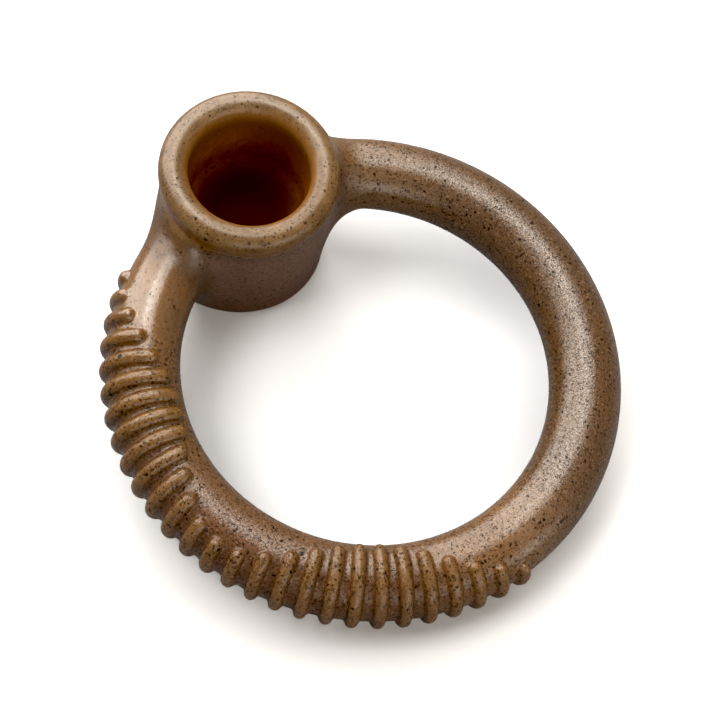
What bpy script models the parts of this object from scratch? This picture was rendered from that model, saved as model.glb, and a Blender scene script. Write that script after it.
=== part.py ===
"""Nylon chew ring with a treat cup.

A round bar bent into a ring runs into the wall of a short blind cup with a rolled lip.  One half
of the ring carries bead ribs across the bar; their ends trace two waves.  The cup's foot is cut
level, so the ring leans: it stands on the foot and on the ribs at its far side.

The frame: +Z up, +Y towards the cup, the floor at z = 0.
"""

import math

import bmesh
import bpy
from mathutils import Matrix, Vector

# ---------------------------------------------------------------- driving dimensions (metres, radians)
RING_R = 0.0550                     # centre circle of the bar
BAR_R = 0.0090                      # half the bar's thickness
RING_TILT = math.radians(8.2)       # lean of the ring; the cup's side is the high side
RING_X = 0.00085                    # ring centre, so that the whole part is centred on the origin
RING_Y = -0.00756

CUP_D = 0.0552                      # cup axis from the ring centre, along +Y of the ring
LIP_Z = 0.0143                      # centre of the lip's bead over the bar's mid-plane
LIP_R = 0.01906                     # centre circle of the lip's bead
LIP_BEAD = 0.00367                  # bead radius of the rolled lip
WALL_R_TOP = 0.0219                 # outside of the wall under the lip
WALL_R_FOOT = 0.0217                # and at the foot
BORE_R_FLOOR = 0.0146               # inside of the cup at its floor
FLOOR_Z = -0.0084                   # floor of the cup, under the bar's mid-plane
FLOOR_CORNER = 0.0030               # round between floor and wall
FOOT_ROUND = 0.0015                 # rounded edge of the foot

RIB_COUNT = 27
RIB_PITCH = 2 * math.pi / 65
RIB_FIRST = math.radians(126.95)    # first rib, counted from +X of the ring
RIB_H = 0.0018                      # height of a rib over the bar
RIB_HALF = 0.0022                   # half its width
WAVE_TOP = math.radians(132)        # how far round the bar the longest ribs reach, from the outside
WAVE_DIP = math.radians(65)         # and those between the two waves
WAVE_END = math.radians(16)         # and the knobs that the waves run out in
WAVE_FALL = math.radians(2.85)      # fall of a wave, per rib squared
WAVE_CENTRES = (7.6, 20.4)          # rib numbers at the two crests
LOBE_SPLIT = 13                     # last rib of the first wave

GAP = 0.0003                        # clearance between neighbouring pieces

NYLON = (0.190, 0.100, 0.043)       # warm brown
NYLON_DARK = (0.150, 0.078, 0.036)


# ---------------------------------------------------------------- scene
for old in list(bpy.data.objects):
    bpy.data.objects.remove(old, do_unlink=True)


def collection(name):
    made = bpy.data.collections.new(name)
    bpy.context.scene.collection.children.link(made)
    return made


PARTS = collection("nylon_chew_ring")
CUTTERS = collection("cutters")


def into(obj, home):
    for c in list(obj.users_collection):
        c.objects.unlink(obj)
    home.objects.link(obj)


def nylon(name, colour, roughness):
    mat = bpy.data.materials.new(name)
    mat.use_nodes = True
    shader = mat.node_tree.nodes["Principled BSDF"]
    shader.inputs["Base Color"].default_value = (*colour, 1.0)
    shader.inputs["Roughness"].default_value = roughness
    shader.inputs["Metallic"].default_value = 0.0
    return mat


# ---------------------------------------------------------------- ribs
def rib_reach(number):
    """How far round the bar, from its outermost line, the centre of a rib's round end lies."""
    crests = [WAVE_TOP - WAVE_FALL * (number - c) ** 2 for c in WAVE_CENTRES]
    reach = max(*crests, WAVE_END)
    if WAVE_CENTRES[0] < number < WAVE_CENTRES[1]:
        reach = max(reach, WAVE_DIP)
    return max(reach - RIB_HALF / BAR_R, 0.0)


def rib_angle(number):
    return RIB_FIRST + (number - 1) * RIB_PITCH


def rib_height(angle, phi):
    """Height of the ribs over the bar at ring angle and angle phi round the bar (0 = outside)."""
    number = round((angle - RIB_FIRST) / RIB_PITCH) + 1
    if not 1 <= number <= RIB_COUNT:
        return 0.0
    along = (angle - rib_angle(number)) * (RING_R + BAR_R * math.cos(phi))
    past = max(abs(phi) - rib_reach(number), 0.0) * BAR_R
    t = math.hypot(along, past) / RIB_HALF
    return RIB_H * math.sqrt(1.0 - t * t) if t < 1.0 else 0.0


def ring_height():
    """Height of the ring's centre when its ribs touch the floor and the cup's foot is level."""
    low = 0.0
    for number in range(1, RIB_COUNT + 1):
        lean = math.sin(RING_TILT) * math.sin(rib_angle(number))
        for step in range(-36, 37):
            phi = math.pi * step / 36
            reach = BAR_R + rib_height(rib_angle(number), phi)
            z = RING_R * lean + reach * (math.cos(phi) * lean + math.sin(phi) * math.cos(RING_TILT))
            low = min(low, z)
    return -low


# ---------------------------------------------------------------- the ring's own frame
ring = bpy.data.objects.new("ring_frame", None)
PARTS.objects.link(ring)
ring.location = (RING_X, RING_Y, ring_height())
ring.rotation_euler = (RING_TILT, 0.0, 0.0)


def place(obj, home, location=(0.0, 0.0, 0.0)):
    into(obj, home)
    obj.parent = ring
    obj.location = location


# ---------------------------------------------------------------- cutters
bpy.ops.mesh.primitive_cube_add(size=1.0)
floor_cutter = bpy.context.object
floor_cutter.name = "floor_cutter"
floor_cutter.data.transform(Matrix.Diagonal((0.4, 0.4, 0.04, 1.0)))
floor_cutter.location = (0.0, 0.0, -0.02)
into(floor_cutter, CUTTERS)

bpy.ops.mesh.primitive_cylinder_add(vertices=64, radius=WALL_R_TOP + GAP, depth=0.08)
cup_clearance = bpy.context.object
cup_clearance.name = "cup_clearance"
place(cup_clearance, CUTTERS, (0.0, CUP_D, 0.0))

for cutter in (floor_cutter, cup_clearance):
    cutter.hide_render = True
    cutter.display_type = "WIRE"


def cut(obj, cutter):
    mod = obj.modifiers.new("cut_" + cutter.name, "BOOLEAN")
    mod.operation = "DIFFERENCE"
    mod.solver = "EXACT"
    mod.object = cutter


# ---------------------------------------------------------------- treat cup, a turned shape
def arc(cx, cz, radius, start, end, steps):
    for k in range(steps + 1):
        a = math.radians(start + (end - start) * k / steps)
        yield (cx + radius * math.cos(a), cz + radius * math.sin(a))


def cup_profile():
    pts = [(0.0, FLOOR_Z)]
    pts += arc(BORE_R_FLOOR - FLOOR_CORNER, FLOOR_Z + FLOOR_CORNER, FLOOR_CORNER, -90, 0, 3)
    pts += arc(LIP_R, LIP_Z, LIP_BEAD, 180, -36, 12)
    under = LIP_R + LIP_BEAD * math.cos(math.radians(36))
    pts.append((max(WALL_R_TOP, under - 0.0002), LIP_Z - LIP_BEAD))
    pts.append((WALL_R_FOOT, -0.040))
    pts.append((0.0, -0.040))
    return pts


mesh = bpy.data.meshes.new("treat_cup")
outline = [(x, 0.0, z) for x, z in cup_profile()]
mesh.from_pydata(outline, [(k, k + 1) for k in range(len(outline) - 1)], [])
cup = bpy.data.objects.new("treat_cup", mesh)
place(cup, PARTS, (0.0, CUP_D, 0.0))
turn = cup.modifiers.new("turn", "SCREW")
turn.axis = "Z"
turn.angle = 2 * math.pi
turn.steps = 48
turn.render_steps = 48
turn.use_merge_vertices = True
turn.merge_threshold = 0.00001
turn.use_smooth_shade = True
cut(cup, floor_cutter)
soft = cup.modifiers.new("foot_round", "BEVEL")
soft.limit_method = "ANGLE"
soft.angle_limit = math.radians(60)
soft.width = FOOT_ROUND
soft.segments = 2
mesh.materials.append(nylon("cup_nylon", NYLON, 0.40))


# ---------------------------------------------------------------- bar, in stretches
def bar(name, start, end, turn_segments, sides, colour, phase=0.0):
    """A stretch of the ring's bar between two ring angles, with its ribs raised on it."""
    bpy.ops.mesh.primitive_torus_add(major_segments=turn_segments, minor_segments=sides,
                                     major_radius=RING_R, minor_radius=BAR_R)
    obj = bpy.context.object
    obj.name = name
    obj.data.name = name
    step = 2 * math.pi / turn_segments
    middle = 0.5 * (start + end)
    bm = bmesh.new()
    bm.from_mesh(obj.data)
    bmesh.ops.rotate(bm, cent=(0, 0, 0), matrix=Matrix.Rotation(phase, 3, "Z"), verts=bm.verts)
    outside = []
    for v in bm.verts:
        angle = math.atan2(v.co.y, v.co.x)
        angle += 2 * math.pi * round((middle - angle) / (2 * math.pi))
        if not start - 0.999 * step < angle < end + 0.999 * step:
            outside.append(v)
            continue
        phi = math.atan2(v.co.z, math.hypot(v.co.x, v.co.y) - RING_R)
        angle = min(max(angle, start), end)
        reach = BAR_R + rib_height(angle, phi)
        radius = RING_R + reach * math.cos(phi)
        v.co = Vector((radius * math.cos(angle), radius * math.sin(angle), reach * math.sin(phi)))
    bmesh.ops.delete(bm, geom=outside, context="VERTS")
    bmesh.ops.holes_fill(bm, edges=[e for e in bm.edges if e.is_boundary], sides=0)
    bmesh.ops.recalc_face_normals(bm, faces=bm.faces)
    bm.to_mesh(obj.data)
    bm.free()
    obj.data.shade_smooth()
    obj.data.set_sharp_from_angle(angle=math.radians(50))
    place(obj, PARTS)
    obj.data.materials.append(nylon(name + "_nylon", colour, 0.42))
    return obj


half_gap = 0.5 * GAP / RING_R
rib_end = rib_angle(RIB_COUNT + 0.5)                       # where the ribbed half ends, opposite the cup
lobe_end = rib_angle(LOBE_SPLIT + 0.5)
in_cup = 2 * math.asin(0.5 * (WALL_R_TOP - 0.004) / RING_R)  # ends that the cup's clearance cuts back

side_bar = bar("side_ribbed_bar", math.pi / 2 + in_cup, lobe_end - half_gap, 260, 24, NYLON, RIB_FIRST)
far_bar = bar("far_ribbed_bar", lobe_end + half_gap, rib_end - half_gap, 260, 24, NYLON, RIB_FIRST)
plain_bar = bar("plain_bar", rib_end - 2 * math.pi + half_gap, math.pi / 2 - in_cup, 72, 24, NYLON_DARK)
cut(side_bar, cup_clearance)
cut(plain_bar, cup_clearance)
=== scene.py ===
import math

import bpy
import numpy as np
from mathutils import Matrix, Vector


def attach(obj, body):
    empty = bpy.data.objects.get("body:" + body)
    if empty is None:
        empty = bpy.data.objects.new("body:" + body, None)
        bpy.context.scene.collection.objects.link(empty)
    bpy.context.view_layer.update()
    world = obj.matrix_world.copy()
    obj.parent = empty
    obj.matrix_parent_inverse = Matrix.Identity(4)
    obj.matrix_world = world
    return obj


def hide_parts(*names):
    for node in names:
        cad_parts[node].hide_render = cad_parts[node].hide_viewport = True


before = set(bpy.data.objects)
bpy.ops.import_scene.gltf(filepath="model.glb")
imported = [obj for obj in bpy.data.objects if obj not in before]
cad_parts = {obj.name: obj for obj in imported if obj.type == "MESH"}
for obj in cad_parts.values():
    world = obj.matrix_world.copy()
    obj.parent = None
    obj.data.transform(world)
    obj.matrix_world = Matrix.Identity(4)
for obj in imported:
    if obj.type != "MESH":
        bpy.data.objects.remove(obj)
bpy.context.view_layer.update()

# The chew ring is one moulding, so one seamless closed skin stands for all four solids of the frame.
# Its shape is worked out in the ring's own frame in millimetres (bar's mid-plane at z = 0, cup
# towards +Y) and is then leaned and set down as the solids are.

# ------------------------------------------------------------------ dimensions (mm, radians)
RING_R, BAR_R = 55.0, 9.0
LEAN = math.radians(8.2)
RING_AT = (0.85, -7.56, 18.338)

CUP_D = 55.2
LIP_R, LIP_Z, LIP_BEAD = 19.06, 14.3, 3.67
WALL_TOP, WALL_FOOT = 21.9, 21.7
BORE_FLOOR, BORE_TOP = 14.6, 15.37
CUP_FLOOR, FLOOR_CORNER, FOOT_ROUND = -8.4, 6.0, 2.5
LIP_CREASE = 0.7
BLEND_IN, BLEND_OUT, BLEND_OVER, BLEND_UNDER = 6.2, 10.5, 9.0, 20.0

RIB_COUNT, RIB_PITCH, RIB_FIRST = 27, math.radians(5.57), math.radians(126.95)
RIB_H, RIB_HALF, RIB_FULL, RIB_ROOT = 1.8, 1.60, 0.32, 0.65
WAVE_END, WAVE_DIP = 28.0, 62.0     # degrees round the bar that the end ribs and the middle ribs reach
WAVE_RISE, WAVE_FALL = 20.8, 15.5   # degrees per rib, at the two ends and towards the middle
WAVE_MIDDLE = 14.2                  # rib number between the two waves


# ------------------------------------------------------------------ shape, as a signed distance
def fillet(a, b, k):
    """Union of two solids with a round fillet of radius k."""
    return np.maximum(k, np.minimum(a, b)) - np.hypot(np.maximum(k - a, 0), np.maximum(k - b, 0))


def trim(a, b, k):
    """What two solids share, with its edge rounded to radius k."""
    return np.minimum(-k, np.maximum(a, b)) + np.hypot(np.maximum(k + a, 0), np.maximum(k + b, 0))


def soft_min(a, b, k):
    """The lesser of two values, one running softly into the other over a width k."""
    h = np.maximum(k - np.abs(a - b), 0) / k
    return np.minimum(a, b) - h * h * k / 4


def rib_half(n):
    """Half the width of a rib; those of the first wave are the fuller ones."""
    return RIB_HALF + RIB_FULL * np.clip((WAVE_MIDDLE - n) / 3 + 0.5, 0, 1)


def rib_reach(n):
    """How far round the bar the centre of a rib's round end lies, from the bar's outermost line."""
    side = soft_min(WAVE_END + WAVE_RISE * (n - 1), WAVE_DIP - 13 + WAVE_FALL * (WAVE_MIDDLE - n), 80)
    far = soft_min(WAVE_DIP - 13 + 1.08 * WAVE_FALL * (n - WAVE_MIDDLE), WAVE_END + 8 + WAVE_RISE * (RIB_COUNT - n), 92)
    reach = -soft_min(-side, -far, 40)
    return np.maximum(np.radians(reach) - rib_half(n) / BAR_R, 0)


def bar(x, y, z):
    """The ring's bar with its bead ribs."""
    rho = np.hypot(x, y)
    d = np.hypot(rho - RING_R, z) - BAR_R
    turn = np.arctan2(y, x)
    turn = np.where(turn < math.radians(30), turn + 2 * math.pi, turn)
    place = np.floor((turn - RIB_FIRST) / RIB_PITCH)
    near = np.full(np.shape(d), 1e3)
    for k in (1, 2):
        n = np.clip(place + k, 1, RIB_COUNT)
        off = turn - (RIB_FIRST + (n - 1) * RIB_PITCH)
        bead = (RIB_H + rib_half(n) ** 2 / RIB_H) / 2
        spine = BAR_R + RIB_H - bead
        along, out = rho * np.sin(off), rho * np.cos(off) - RING_R
        end = rib_reach(n)
        phi = np.clip(np.arctan2(z, out), -end, end)
        gap = np.sqrt((out - spine * np.cos(phi)) ** 2 + (z - spine * np.sin(phi)) ** 2 + along ** 2)
        near = np.minimum(near, gap - bead)
    return fillet(d, near, RIB_ROOT)


def chew_ring_shape(x, y, z):
    q = np.hypot(x, y - CUP_D)
    wall = q - (WALL_FOOT + (WALL_TOP - WALL_FOOT) * np.clip((z + 26) / 36.6, 0, 1))
    ground = -(z * math.cos(LEAN) + y * math.sin(LEAN) + RING_AT[2])
    wall = trim(wall, ground, FOOT_ROUND)
    out = np.hypot(x, y) - RING_R
    far = np.maximum(np.hypot(out, z), 1e-6)
    side, up = out / far, z / far
    width = (BLEND_IN * np.minimum(side, 0) ** 2 + BLEND_OUT * np.maximum(side, 0) ** 2
             + BLEND_OVER * np.maximum(up, 0) ** 2 + BLEND_UNDER * np.minimum(up, 0) ** 2)
    d = soft_min(bar(x, y, z), wall, np.maximum(width, 0.1))
    d = np.where(q < 45, trim(d, ground, 0.4), d)
    d = trim(d, z - LIP_Z, 0.3)
    d = fillet(d, np.hypot(q - LIP_R, z - LIP_Z) - LIP_BEAD, LIP_CREASE)
    bore = BORE_FLOOR + (BORE_TOP - BORE_FLOOR) * np.clip((z - CUP_FLOOR) / (LIP_Z - CUP_FLOOR), 0, 1)
    dq, dz = q - (bore - FLOOR_CORNER), CUP_FLOOR + FLOOR_CORNER - z
    inside = np.hypot(np.maximum(dq, 0), np.maximum(dz, 0)) - FLOOR_CORNER + np.minimum(np.maximum(dq, dz), 0)
    return np.maximum(d, -inside)


def slope(p, eps=0.02):
    g = np.empty_like(p)
    for a in range(3):
        step = np.zeros(3)
        step[a] = eps
        g[:, a] = (chew_ring_shape(*(p + step).T) - chew_ring_shape(*(p - step).T)) / (2 * eps)
    return g


def settle(p, rounds):
    """Moves points onto the skin."""
    for _ in range(rounds):
        g = slope(p)
        p = p - (chew_ring_shape(*p.T) / np.maximum((g * g).sum(1), 0.05))[:, None] * g
    return p


# ------------------------------------------------------------------ skin
def stations():
    """Ring angles at which the shape is sampled: close on the ribs, wide on the plain half."""
    def run(start, end, step):
        return np.linspace(start, end, max(int(round((end - start) / step)), 1), endpoint=False)
    return np.radians(np.concatenate([run(-84, 56, 1.12), run(56, 121, 0.62), run(121, 276, 0.45)]))


def skin():
    """Closed quad skin of the shape over a grid that runs round the ring."""
    turn = stations()
    rad = np.arange(31.0, 80.6, 0.68)
    up = np.arange(-31.6, 19.6, 0.68)
    co, si = np.cos(turn), np.sin(turn)
    d = np.empty((len(turn), len(rad), len(up)), np.float32)
    for i in range(len(turn)):
        rr, zz = np.meshgrid(rad, up, indexing="ij")
        d[i] = chew_ring_shape(rr * co[i], rr * si[i], zz)
    grid = np.empty(d.shape + (3,), np.float32)
    grid[..., 0] = rad[None, :, None] * co[:, None, None]
    grid[..., 1] = rad[None, :, None] * si[:, None, None]
    grid[..., 2] = up[None, None, :]
    solid = d < 0
    nt, nr, nz = d.shape
    total = np.zeros((nt * nr * nz, 3))
    count = np.zeros(nt * nr * nz)
    faces = []

    def cell(i, j, k):
        return ((i % nt) * nr + j) * nz + k

    # each grid edge that crosses the skin gives a quad through the four cells round it
    for axis in range(3):
        if axis == 0:
            nxt_d, nxt_g, nxt_s = np.roll(d, -1, 0), np.roll(grid, -1, 0), np.roll(solid, -1, 0)
            i, j, k = np.nonzero(solid != nxt_s)
            here, there = grid[i, j, k], nxt_g[i, j, k]
            da, db = d[i, j, k], nxt_d[i, j, k]
            ring4 = [(i, j - 1, k - 1), (i, j, k - 1), (i, j, k), (i, j - 1, k)]
        elif axis == 1:
            i, j, k = np.nonzero(solid[:, :-1] != solid[:, 1:])
            here, there = grid[i, j, k], grid[i, j + 1, k]
            da, db = d[i, j, k], d[i, j + 1, k]
            ring4 = [(i - 1, j, k - 1), (i - 1, j, k), (i, j, k), (i, j, k - 1)]
        else:
            i, j, k = np.nonzero(solid[:, :, :-1] != solid[:, :, 1:])
            here, there = grid[i, j, k], grid[i, j, k + 1]
            da, db = d[i, j, k], d[i, j, k + 1]
            ring4 = [(i - 1, j - 1, k), (i, j - 1, k), (i, j, k), (i - 1, j, k)]
        t = (da / (da - db))[:, None]
        hit = here + t * (there - here)
        ids = np.stack([cell(*c) for c in ring4], 1)
        for c in range(4):
            for a in range(3):
                total[:, a] += np.bincount(ids[:, c], hit[:, a], len(total))
            count += np.bincount(ids[:, c], minlength=len(count))
        leaving = solid[i, j, k]
        faces.append(np.where(leaving[:, None], ids, ids[:, ::-1]))
    used = np.nonzero(count)[0]
    points = total[used] / count[used][:, None]
    place = np.full(len(count), -1)
    place[used] = np.arange(len(used))
    quads = place[np.concatenate(faces)]

    # evens the quads out along the skin
    ends = np.concatenate([quads, np.roll(quads, -1, 1)]).reshape(2, -1)
    points = settle(points, 3)
    links = np.bincount(ends.ravel(), minlength=len(points))
    for _ in range(3):
        mean = np.empty_like(points)
        for a in range(3):
            mean[:, a] = (np.bincount(ends[0], points[ends[1], a], len(points))
                          + np.bincount(ends[1], points[ends[0], a], len(points))) / links
        g = slope(points)
        g /= np.maximum(np.linalg.norm(g, axis=1), 1e-6)[:, None]
        pull = mean - points
        pull -= (pull * g).sum(1)[:, None] * g
        points = settle(points + 0.5 * pull, 2)
    return points, quads


points, quads = skin()
normals = slope(points)
normals /= np.linalg.norm(normals, axis=1)[:, None]
lean = np.array(Matrix.Rotation(LEAN, 3, "X"))
places = (points @ lean.T + np.array(RING_AT)) / 1000.0

mesh = bpy.data.meshes.new("chew_ring")
mesh.from_pydata(places.tolist(), [], quads.tolist())
mesh.update()
flat = np.array([p.normal for p in mesh.polygons])
if (flat * (normals @ lean.T)[quads[:, 0]]).sum() < 0:
    mesh.flip_normals()
mesh.shade_smooth()
mesh.normals_split_custom_set_from_vertices((normals @ lean.T).tolist())
chew_ring = bpy.data.objects.new("chew_ring", mesh)
bpy.context.scene.collection.objects.link(chew_ring)


# ------------------------------------------------------------------ speckled nylon
def nylon():
    mat = bpy.data.materials.new("speckled_nylon")
    mat.use_nodes = True
    tree = mat.node_tree
    nodes, links = tree.nodes, tree.links
    shader = nodes["Principled BSDF"]

    def node(kind, **values):
        made = nodes.new(kind)
        for key, value in values.items():
            setattr(made, key, value)
        return made

    def put(socket, value):
        if isinstance(value, bpy.types.NodeSocket):
            links.new(value, socket)
        else:
            socket.default_value = value

    def math_(op, a, b=0.0, c=0.0, clamp=False):
        made = node("ShaderNodeMath", operation=op, use_clamp=clamp)
        for socket, value in zip(made.inputs, (a, b, c)):
            put(socket, value)
        return made.outputs[0]

    def ramp(value, low, high, out_low=0.0, out_high=1.0):
        made = node("ShaderNodeMapRange", interpolation_type="SMOOTHSTEP")
        for name, v in (("Value", value), ("From Min", low), ("From Max", high),
                        ("To Min", out_low), ("To Max", out_high)):
            put(made.inputs[name], v)
        return made.outputs["Result"]

    def mix(factor, a, b, kind="MIX"):
        made = node("ShaderNodeMix", data_type="RGBA", blend_type=kind)
        put(made.inputs[0], factor)
        put(made.inputs[6], a)
        put(made.inputs[7], b)
        return made.outputs[2]

    def noise(where, scale, detail=2.0, rough=0.5):
        made = node("ShaderNodeTexNoise")
        put(made.inputs["Vector"], where)
        made.inputs["Scale"].default_value = scale
        made.inputs["Detail"].default_value = detail
        made.inputs["Roughness"].default_value = rough
        return made

    spot = node("ShaderNodeTexCoord").outputs["Object"]
    mm = node("ShaderNodeVectorMath", operation="SCALE")
    links.new(spot, mm.inputs[0])
    mm.inputs["Scale"].default_value = 1000.0
    mm = mm.outputs[0]

    # where on the moulding: round the cup's axis, and over the bar's mid-plane
    off = node("ShaderNodeVectorMath", operation="SUBTRACT")
    links.new(mm, off.inputs[0])
    off.inputs[1].default_value = RING_AT
    level = node("ShaderNodeVectorRotate", rotation_type="X_AXIS")
    links.new(off.outputs[0], level.inputs["Vector"])
    level.inputs["Angle"].default_value = -LEAN
    from_cup = node("ShaderNodeVectorMath", operation="SUBTRACT")
    links.new(level.outputs[0], from_cup.inputs[0])
    from_cup.inputs[1].default_value = (0.0, CUP_D, 0.0)
    part = node("ShaderNodeSeparateXYZ")
    links.new(from_cup.outputs[0], part.inputs[0])
    q = math_("SQRT", math_("ADD", math_("MULTIPLY", part.outputs["X"], part.outputs["X"]),
                            math_("MULTIPLY", part.outputs["Y"], part.outputs["Y"])))
    z = part.outputs["Z"]
    lip = math_("MULTIPLY", ramp(z, 9.8, 11.6), ramp(q, 25.0, 23.5))
    inside = math_("MULTIPLY", ramp(q, 16.4, 15.5), ramp(z, 15.5, 12.0))
    deep = math_("MULTIPLY", inside, ramp(z, -3.6, -8.4))
    throat = ramp(z, 3.0, 12.0)
    rim = math_("MULTIPLY", ramp(q, 17.8, 16.2), ramp(z, 18.2, 16.0))
    smooth = math_("MAXIMUM", ramp(q, 31.0, 24.0),
                   math_("MULTIPLY", ramp(part.outputs["X"], -4.0, -20.0), ramp(q, 58.0, 42.0)))
    blend = math_("MULTIPLY", ramp(part.outputs["X"], 4.0, -6.0), math_("MULTIPLY", ramp(q, 22.5, 25.5), ramp(q, 38.0, 31.0)))
    matte = math_("MULTIPLY", ramp(q, 33.0, 26.0), ramp(z, 11.0, 7.0))
    wall = math_("MULTIPLY", ramp(q, 25.0, 22.5), ramp(z, 11.0, 7.0))
    side = ramp(part.outputs["X"], 6.0, -2.0)
    ribbed = math_("MULTIPLY", side, ramp(q, 46.0, 58.0))
    warm = math_("MULTIPLY", math_("MULTIPLY", side, ramp(q, 28.0, 38.0)), ramp(q, 112.0, 72.0, 0.75, 1.0))
    end = math_("MULTIPLY", ramp(part.outputs["X"], -27.0, -10.0), ramp(part.outputs["X"], 26.0, 2.0))
    end = math_("MULTIPLY", end, ramp(part.outputs["Y"], -84.0, -104.0))
    root = math_("MULTIPLY", ramp(part.outputs["X"], 2.0, 10.0), math_("MULTIPLY", ramp(q, 23.5, 27.0), ramp(q, 58.0, 32.0)))
    bare = smooth
    smooth = math_("MAXIMUM", bare, math_("MULTIPLY", math_("MAXIMUM", end, root), 0.55))
    along = math_("ADD", part.outputs["Y"], CUP_D)
    out = math_("SQRT", math_("ADD", math_("MULTIPLY", part.outputs["X"], part.outputs["X"]), math_("MULTIPLY", along, along)))
    out = math_("SUBTRACT", out, RING_R)
    over = math_("SQRT", math_("ADD", math_("MULTIPLY", out, out), math_("MULTIPLY", z, z)))
    # painted light and shade on the ribbed half: the rib crests are painted paler and the grooves between the ribs
    # darker, as light and shade fall on them
    rib_crest_painted_light = math_("MULTIPLY", ribbed, ramp(over, BAR_R + 0.3, BAR_R + 1.6))
    groove_painted_shade = math_("MULTIPLY", math_("MULTIPLY", ribbed, ramp(over, BAR_R + 0.9, BAR_R + 0.1)), ramp(out, -3.0, 3.0))
    groove_painted_shade = math_("MULTIPLY", groove_painted_shade, math_("SUBTRACT", 1.0, math_("MULTIPLY", end, 0.7)))
    inner = math_("MULTIPLY", math_("MULTIPLY", warm, ramp(out, -0.5, -5.0)), ramp(over, BAR_R + 0.8, BAR_R + 0.2))

    # slow change of tone and the grain of the compound, with painted light and shade: paler rib crests, darker grooves,
    # a lighter lip underside and a greyer front of the cup wall
    slow = noise(mm, 0.075, 3.0, 0.55).outputs["Fac"]
    tone = mix(ramp(slow, 0.34, 0.66), (0.054, 0.0243, 0.0068, 1), (0.048, 0.0238, 0.0096, 1))
    brown = mix(ramp(q, 64.0, 84.0), (0.094, 0.0400, 0.0084, 1), (0.089, 0.0378, 0.0158, 1))
    tone = mix(math_("MULTIPLY", warm, 0.8), tone, brown)
    near = math_("MULTIPLY", side, math_("MULTIPLY", ramp(q, 28.0, 36.0), ramp(q, 80.0, 45.0)))
    tone = mix(math_("MULTIPLY", near, 0.8), tone, (0.104, 0.0452, 0.0098, 1))
    tone = mix(math_("MULTIPLY", end, 0.85), tone, (0.116, 0.0560, 0.0205, 1))
    tone = mix(math_("MULTIPLY", root, 0.80), tone, (0.088, 0.0420, 0.0125, 1))
    # painted highlight on the rib crests, and painted shade in the grooves
    tone = mix(math_("MULTIPLY", rib_crest_painted_light, 0.44), tone, (0.128, 0.0670, 0.0200, 1))
    tone = mix(math_("MULTIPLY", groove_painted_shade, 0.50), tone, (0.050, 0.0225, 0.0115, 1))
    tone = mix(math_("MULTIPLY", inner, 0.60), tone, (0.070, 0.0362, 0.0150, 1))
    veil = noise(mm, 0.17, 3.0, 0.6).outputs["Fac"]
    gold = mix(ramp(veil, 0.36, 0.66), (0.113, 0.0630, 0.0226, 1), (0.080, 0.0400, 0.0120, 1))
    # painted light: the underside of the lip bead is painted a lighter gold, as if more light reached it
    under = math_("MULTIPLY", ramp(z, 15.6, 13.0, 0.0, 0.8), math_("MULTIPLY", ramp(q, 19.0, 21.0), ramp(q, 23.7, 22.8)))
    gold = mix(under, gold, (0.142, 0.0610, 0.0160, 1))
    flow = math_("ABSOLUTE", math_("SUBTRACT", noise(mm, 0.33, 3.0, 0.55).outputs["Fac"], 0.5))
    flow = math_("MULTIPLY", ramp(flow, 0.020, 0.0), ramp(noise(mm, 0.12, 1.0).outputs["Fac"], 0.50, 0.62, 0.0, 0.6))
    gold = mix(flow, gold, (0.030, 0.0120, 0.0042, 1))
    tone = mix(lip, tone, gold)
    # painted sheen and shade: the front of the cup wall is painted a greyer, purplish brown in place of the floor's
    # reflection and the shade on that side; its back keeps a plain brown
    wall_front_painted_sheen = mix(ramp(part.outputs["Y"], 0.0, -12.0), (0.080, 0.0360, 0.0125, 1), (0.091, 0.0430, 0.0262, 1))
    tone = mix(wall, tone, wall_front_painted_sheen)
    cloud = noise(mm, 0.42, 4.0, 0.6).outputs["Fac"]
    tone = mix(ramp(cloud, 0.30, 0.72, 0.0, 0.40), tone, (0.032, 0.0135, 0.0045, 1))
    grain = noise(mm, 2.9, 2.0, 0.6).outputs["Fac"]
    tone = mix(ramp(grain, 0.45, 0.75, 0.0, 0.50), tone, (0.130, 0.062, 0.022, 1))

    # flecks, a pale and four dark sorts, in drifts, each speck with a strength of its own; fewer on the cup
    warp = noise(mm, 1.1, 2.0).outputs["Color"]
    shift = node("ShaderNodeVectorMath", operation="SUBTRACT")
    links.new(warp, shift.inputs[0])
    shift.inputs[1].default_value = (0.5, 0.5, 0.5)
    bent = node("ShaderNodeVectorMath", operation="MULTIPLY_ADD")
    links.new(shift.outputs[0], bent.inputs[0])
    bent.inputs[1].default_value = (1.3, 1.3, 1.3)
    links.new(mm, bent.inputs[2])
    bent = bent.outputs[0]
    drift = ramp(noise(mm, 0.13, 2.0, 0.6).outputs["Fac"], 0.30, 0.70, 0.68, 1.18)
    few = math_("MULTIPLY", bare, ramp(q, 24.0, 28.0, 0.46, 0.68))
    crowd = math_("MULTIPLY", drift, math_("SUBTRACT", 1.0, few))
    crowd = math_("MULTIPLY", crowd, math_("SUBTRACT", 1.0, math_("MULTIPLY", math_("MAXIMUM", lip, wall), 0.22)))
    crowd = math_("MULTIPLY", crowd, math_("MULTIPLY_ADD", ribbed, 0.44, 1.0))

    def flecks(cell, share, size, soft, strength):
        made = node("ShaderNodeTexVoronoi", feature="F1")
        links.new(bent, made.inputs["Vector"])
        made.inputs["Scale"].default_value = 1.0 / cell
        made.inputs["Randomness"].default_value = 1.0
        pick = node("ShaderNodeSeparateColor")
        links.new(made.outputs["Color"], pick.inputs[0])
        on = ramp(math_("MULTIPLY", pick.outputs[0], crowd), 1.0 - share, 1.0 - 0.8 * share)
        radius = math_("MULTIPLY_ADD", pick.outputs[1], size * 0.6, size * 0.4)
        near = math_("DIVIDE", made.outputs["Distance"], radius)
        body = ramp(near, 1.0 + soft, 1.0 - soft)
        depth = math_("MULTIPLY_ADD", pick.outputs[2], strength * 0.5, strength * 0.5)
        return math_("MULTIPLY", math_("MULTIPLY", on, body), depth, clamp=True)

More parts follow.
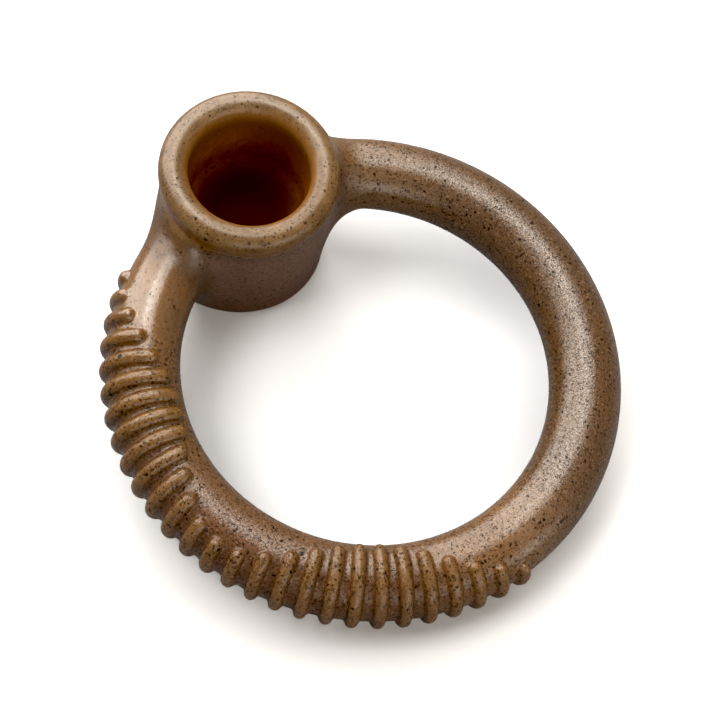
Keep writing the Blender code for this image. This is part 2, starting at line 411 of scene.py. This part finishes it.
    pale = flecks(0.85, 0.70, 0.34, 0.35, 0.60)
    fine = flecks(0.64, 0.90, 0.43, 0.26, 1.00)
    tiny = flecks(0.98, 0.84, 0.38, 0.25, 1.00)
    small = flecks(1.9, 0.55, 0.27, 0.22, 1.00)
    big = flecks(4.6, 0.45, 0.15, 0.18, 1.00)
    tone = mix(pale, tone, (0.170, 0.105, 0.055, 1))
    tone = mix(fine, tone, (0.015, 0.0065, 0.0025, 1))
    tone = mix(tiny, tone, (0.008, 0.0040, 0.0020, 1))
    tone = mix(small, tone, (0.006, 0.0035, 0.0020, 1))
    tone = mix(big, tone, (0.004, 0.0035, 0.0035, 1))

    # the inside of the cup is dull and mottled, with painted light and shade: its wall is painted brighter orange lower
    # down and darker near the top, and painted shade darkens its floor
    inside_tone_painted_light = mix(throat, (0.236, 0.0800, 0.0165, 1), (0.094, 0.0340, 0.0085, 1))
    inside_tone_painted_light = mix(ramp(part.outputs["X"], 2.0, 13.0, 0.0, 0.42), inside_tone_painted_light, (0.112, 0.0390, 0.0085, 1))
    inside_tone_painted_light = mix(ramp(cloud, 0.35, 0.70, 0.0, 0.55), inside_tone_painted_light, (0.115, 0.0350, 0.0080, 1))
    tone = mix(math_("MULTIPLY", rim, 0.65), tone, (0.150, 0.0620, 0.0150, 1))
    tone = mix(inside, tone, mix(math_("MULTIPLY", tiny, 0.8), inside_tone_painted_light, (0.020, 0.008, 0.004, 1)))
    # painted shade on the cup's floor, a little lighter at its edge than in its middle
    depth = mix(ramp(q, 13.0, 7.0), (0.047, 0.0135, 0.0046, 1), (0.028, 0.0080, 0.0028, 1))
    tone = mix(deep, tone, depth)
    links.new(tone, shader.inputs["Base Color"])

    # flecks don't shine, and the grain glitters
    fleck = math_("MAXIMUM", math_("MAXIMUM", fine, tiny), math_("MAXIMUM", small, big))
    glitter = ramp(noise(mm, 3.3, 1.0, 0.5).outputs["Fac"], 0.30, 0.70, 0.14, 0.86)
    calm = math_("MULTIPLY", smooth, 0.75)
    glitter = math_("ADD", math_("MULTIPLY", glitter, math_("SUBTRACT", 1.0, calm)), math_("MULTIPLY", calm, 0.67))
    shine = math_("MULTIPLY", glitter, math_("SUBTRACT", 1.0, math_("MULTIPLY", fleck, 0.80)))
    shine = math_("MULTIPLY", shine, math_("SUBTRACT", 1.0, math_("MULTIPLY", inside, 0.90)))
    shine = math_("MULTIPLY", shine, math_("SUBTRACT", 1.0, math_("MULTIPLY", lip, 0.30)))
    shine = math_("MULTIPLY", shine, math_("SUBTRACT", 1.0, math_("MULTIPLY", rim, 0.55)))
    shine = math_("MULTIPLY", shine, math_("SUBTRACT", 1.0, math_("MULTIPLY", matte, 0.12)))
    dull = math_("MULTIPLY", ribbed, ramp(q, 72.0, 98.0, 0.40, 0.46))
    flat = math_("MULTIPLY", ramp(over, BAR_R + 0.8, BAR_R + 0.2), ramp(out, 4.0, 0.0))
    dull = math_("MULTIPLY", dull, math_("SUBTRACT", 1.0, math_("MULTIPLY", flat, 0.45)))
    shine = math_("MULTIPLY", shine, math_("SUBTRACT", 1.0, dull))
    quiet = math_("MAXIMUM", math_("MULTIPLY", end, 0.16), math_("MULTIPLY", root, 0.26))
    shine = math_("MULTIPLY", shine, math_("SUBTRACT", 1.0, quiet))
    shine = math_("MULTIPLY", shine, math_("SUBTRACT", 1.0, math_("MULTIPLY", groove_painted_shade, 0.30)))
    shine = math_("MULTIPLY", shine, math_("SUBTRACT", 1.0, math_("MULTIPLY", blend, 0.35)))
    worn = math_("MULTIPLY", lip, ramp(part.outputs["Y"], 2.0, -18.0))
    shine = math_("MULTIPLY", shine, math_("SUBTRACT", 1.0, math_("MULTIPLY", worn, 0.38)))
    links.new(shine, shader.inputs["Specular IOR Level"])

    patchy = noise(mm, 1.6, 3.0, 0.6).outputs["Fac"]
    gloss = ramp(patchy, 0.3, 0.7, 0.22, 0.34)
    gloss = math_("SUBTRACT", gloss, math_("MULTIPLY", smooth, 0.05))
    gloss = math_("ADD", gloss, math_("MULTIPLY", lip, 0.10))
    gloss = math_("ADD", gloss, math_("MULTIPLY", matte, 0.24))
    gloss = math_("ADD", gloss, math_("MULTIPLY", inside, 0.5))
    links.new(gloss, shader.inputs["Roughness"])

    pits = noise(mm, 2.2, 3.0, 0.65).outputs["Fac"]
    bump = node("ShaderNodeBump")
    bump.inputs["Distance"].default_value = 0.00030
    links.new(math_("SUBTRACT", 0.26, math_("MULTIPLY", smooth, 0.19)), bump.inputs["Strength"])
    links.new(pits, bump.inputs["Height"])
    links.new(bump.outputs[0], shader.inputs["Normal"])

    shader.inputs["IOR"].default_value = 1.53
    shader.inputs["Specular Tint"].default_value = (1.0, 0.95, 0.87, 1.0)
    return mat


mesh.materials.append(nylon())
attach(chew_ring, "root")
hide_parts("treat_cup", "side_ribbed_bar", "far_ribbed_bar", "plain_bar")


# ------------------------------------------------------------------ floor, light and camera
def floor(name, height, albedo):
    made = bpy.data.meshes.new(name)
    s = 4.0
    made.from_pydata([(-s, -s, height), (s, -s, height), (s, s, height), (-s, s, height)], [], [(0, 1, 2, 3)])
    obj = bpy.data.objects.new(name, made)
    bpy.context.scene.collection.objects.link(obj)
    mat = bpy.data.materials.new(name)
    mat.use_nodes = True
    shader = mat.node_tree.nodes["Principled BSDF"]
    shader.inputs["Base Color"].default_value = (*albedo, 1)
    shader.inputs["Roughness"].default_value = 0.9
    shader.inputs["Specular IOR Level"].default_value = 0.0
    made.materials.append(mat)
    return obj


def run_out(obj):
    """Away from the softboxes the floor runs out into white."""
    tree = obj.data.materials[0].node_tree
    spot = tree.nodes.new("ShaderNodeTexCoord")
    far = tree.nodes.new("ShaderNodeVectorMath")
    far.operation = "LENGTH"
    glow = tree.nodes.new("ShaderNodeMapRange")
    glow.interpolation_type = "SMOOTHSTEP"
    glow.inputs["From Min"].default_value = 0.25
    glow.inputs["From Max"].default_value = 0.75
    glow.inputs["To Max"].default_value = 1.05
    shader = tree.nodes["Principled BSDF"]
    shader.inputs["Emission Color"].default_value = (1, 1, 1, 1)
    tree.links.new(spot.outputs["Object"], far.inputs[0])
    tree.links.new(far.outputs["Value"], glow.inputs["Value"])
    tree.links.new(glow.outputs["Result"], shader.inputs["Emission Strength"])


def backdrop():
    """A white wall round the stage."""
    made = bpy.data.meshes.new("backdrop")
    turns, r, top = 64, 3.9, 4.0
    ring = [(r * math.cos(2 * math.pi * k / turns), r * math.sin(2 * math.pi * k / turns)) for k in range(turns)]
    made.from_pydata([(x, y, z) for z in (-0.00004, top) for x, y in ring], [],
                     [((k + 1) % turns, k, k + turns, (k + 1) % turns + turns) for k in range(turns)])
    obj = bpy.data.objects.new("backdrop", made)
    bpy.context.scene.collection.objects.link(obj)
    mat = bpy.data.materials.new("backdrop")
    mat.use_nodes = True
    shader = mat.node_tree.nodes["Principled BSDF"]
    shader.inputs["Base Color"].default_value = (0, 0, 0, 1)
    shader.inputs["Specular IOR Level"].default_value = 0.0
    shader.inputs["Emission Color"].default_value = (1, 1, 1, 1)
    shader.inputs["Emission Strength"].default_value = 1.05
    made.materials.append(mat)
    return obj


def lit_by(name, *things):
    """The things that a softbox shines on."""
    made = bpy.data.collections.new(name)
    for thing in things:
        made.objects.link(thing)
    return made


def softbox(name, azimuth, elevation, size, radiance, tint, onto, distance=1.4):
    data = bpy.data.lights.new(name, "AREA")
    data.shape = "RECTANGLE"
    data.size, data.size_y = size
    data.energy = radiance * math.pi * size[0] * size[1]
    data.color = tint
    obj = bpy.data.objects.new(name, data)
    bpy.context.scene.collection.objects.link(obj)
    a, e = math.radians(azimuth), math.radians(elevation)
    back = Vector((math.cos(e) * math.cos(a), math.cos(e) * math.sin(a), math.sin(e)))
    obj.location = Vector((0.0, 0.0, 0.02)) + back * distance
    obj.rotation_euler = (-back).to_track_quat("-Z", "Y").to_euler()
    obj.visible_camera = False
    obj.light_linking.receiver_collection = onto
    return obj


def surroundings():
    """A dim, even room."""
    world = bpy.data.worlds.new("studio")
    bpy.context.scene.world = world
    world.use_nodes = True
    shade = world.node_tree.nodes["Background"]
    shade.inputs["Color"].default_value = (1, 1, 1, 1)
    shade.inputs["Strength"].default_value = 0.42


def camera():
    """The photograph's view: a long lens, looking down from the front left."""
    # ring centre in the camera's frame (x right, y down, z forward), and the ring's plane
    pose = np.array([0.030, 0.043, 9.007]) * RING_R
    n = np.array([0.11597734, -0.39426272, -0.91165024])
    a = np.array([0.99200484, 0.0, 0.12619981])
    b = np.array([-0.04975588, -0.91899777, 0.39111053])
    turn = math.radians(31.25)
    x = math.cos(turn) * a + math.sin(turn) * b
    y = -math.sin(turn) * a + math.cos(turn) * b
    to_ring = np.stack([x, y, n])
    eye = -to_ring @ pose
    axes = lean @ to_ring @ np.diag([1.0, -1.0, -1.0])
    spot = (lean @ eye + np.array(RING_AT)) / 1000.0
    data = bpy.data.cameras.new("camera")
    data.sensor_fit, data.sensor_width, data.lens = "HORIZONTAL", 36.0, 100.0
    data.clip_start, data.clip_end = 0.01, 50.0
    obj = bpy.data.objects.new("camera", data)
    bpy.context.scene.collection.objects.link(obj)
    obj.matrix_world = Matrix.Translation(Vector(spot)) @ Matrix(axes.tolist()).to_4x4()
    bpy.context.scene.camera = obj


# the white floor and the backdrop are what the camera sees; a greyer floor under them keeps the bounce
# on the nylon low, and each has softboxes of its own
seen = floor("white_floor", -0.00003, (0.280, 0.278, 0.276))
run_out(seen)
bounce = floor("grey_floor", -0.00030, (0.19, 0.188, 0.186))
bounce.visible_camera = False
for obj in (seen, backdrop()):
    obj.visible_diffuse = obj.visible_glossy = obj.visible_transmission = obj.visible_shadow = False
surroundings()
on_nylon, on_floor = lit_by("on_nylon", chew_ring, bounce), lit_by("on_floor", seen)
WARM = (1.0, 0.985, 0.965)
WARMER = (1.0, 0.975, 0.950)
WARMEST = (1.0, 0.900, 0.800)
softbox("key", 86, 43, (2.13, 1.82), 6.8, WARM, on_nylon)
softbox("top", 38, 80, (0.74, 0.62), 10.5, WARM, on_nylon)
softbox("front_low", 262, 14, (2.20, 0.70), 3.9, WARM, on_nylon)
softbox("front_high", 275, 53, (2.40, 0.76), 0.6, WARM, on_nylon)
softbox("floor_back", 53, 18, (0.81, 0.30), 82.0, WARM, on_floor)
softbox("floor_key", 98, 46, (0.98, 0.28), 23.0, WARM, on_floor)
softbox("floor_left", 157, 61, (0.64, 0.56), 24.0, WARM, on_floor)
softbox("floor_top", 52, 70, (2.24, 1.09), 8.2, WARMER, on_floor)
softbox("floor_front", 273, 21, (0.64, 0.28), 74.0, WARMEST, on_floor)
camera()

look = bpy.context.scene.view_settings
look.view_transform = "Standard"
look.look = "None"
look.exposure = 0.0
look.gamma = 1.0
look.use_curve_mapping = True
look.curve_mapping.black_level = (0.012, 0.012, 0.012)
look.curve_mapping.update()
